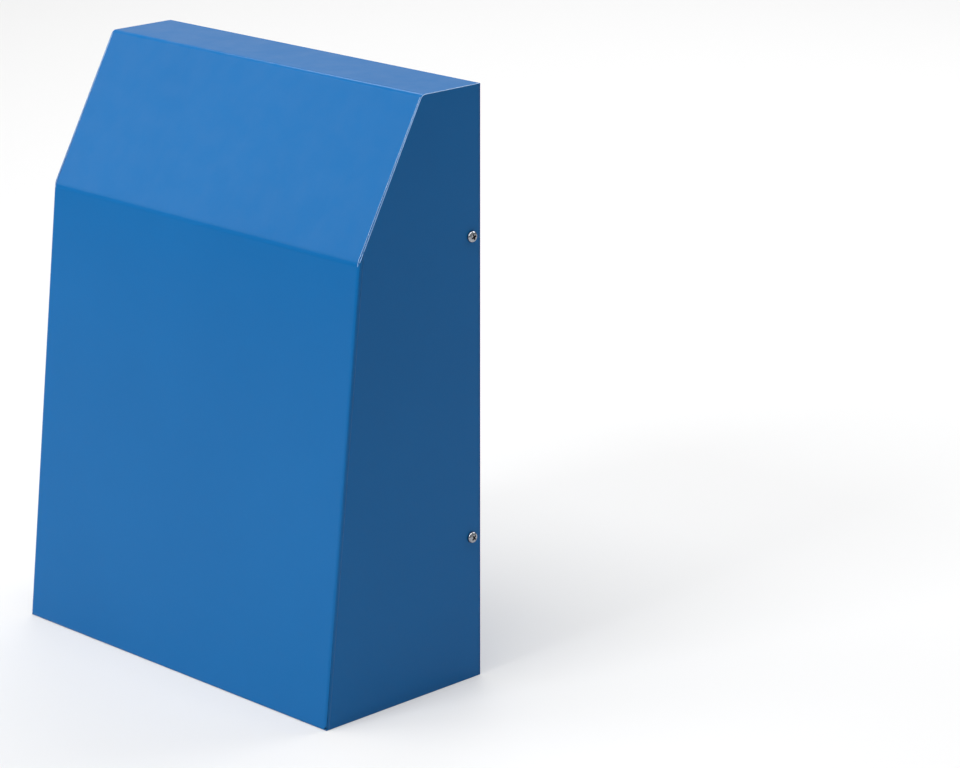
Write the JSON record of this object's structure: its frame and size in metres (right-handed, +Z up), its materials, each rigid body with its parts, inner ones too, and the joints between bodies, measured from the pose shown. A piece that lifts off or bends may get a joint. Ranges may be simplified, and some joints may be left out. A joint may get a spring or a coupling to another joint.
{
  "type": "exterior duct fan",
  "caption": "Wall-hung exterior duct fan: folded sheet casing with sloped front, round rear duct spigot with lip seal, centrifugal impeller and perforated foot outlet.",
  "frame": {"origin": "middle of the duct opening, on the duct axis in the wall plane (rear face of the rim)", "axes": "+Z up as hung on the wall, +Y along the duct axis into the wall, +X to the right seen from the front"},
  "size_m": [0.3172, 0.1952, 0.4166],
  "materials": {
    "blue_coat": "glossy powder coat",
    "seal_rubber": "moulded rubber",
    "zinc_screw": "bright zinc plate",
    "galvanised": "galvanised sheet",
    "motor_black": "satin black paint",
    "motor_steel": "ground steel",
    "motor_lamination": "laminated steel",
    "copper_winding": "enamelled copper",
    "cast_aluminium": "as cast",
    "box_plastic": "grey moulded plastic",
    "black_plastic": "black moulded plastic",
    "capacitor_plastic": "pale moulded plastic"
  },
  "bodies": {
    "casing": {"casing_cover": "blue_coat", "rear_frame": "blue_coat", "mounting_plate": "blue_coat", "duct_spigot": "blue_coat", "bracket_rivets": "blue_coat", "spigot_seal": "seal_rubber", "cable_grommet": "seal_rubber", "motor_lead": "black_plastic", "cover_screws": "zinc_screw", "weld_nuts": "zinc_screw", "motor_screws": "zinc_screw", "lid_screws": "zinc_screw", "inlet_ring": "galvanised", "motor_bracket": "galvanised", "capacitor_strap": "galvanised", "stator_core": "motor_lamination", "stator_winding": "copper_winding", "rear_bearing": "motor_steel", "front_bearing": "motor_steel", "motor_flange": "cast_aluminium", "terminal_box_base": "box_plastic", "terminal_box_lid": "box_plastic", "terminal_block": "black_plastic", "lead_gland": "black_plastic", "capacitor": "capacitor_plastic"},
    "impeller": {"impeller_shroud": "galvanised", "impeller_blades": "galvanised", "impeller_backplate": "galvanised", "impeller_rivets": "zinc_screw", "rotor_can": "motor_black", "rotor_core": "motor_lamination", "rotor_hub": "motor_steel", "motor_shaft": "motor_steel", "shaft_clip": "motor_steel"}
  },
  "joints": [
    {"name": "impeller_spin", "type": "hinge", "parent": "casing", "child": "impeller", "pos_m": [0, 0, 0], "axis": [0, 1, 0], "continuous": true}
  ]
}
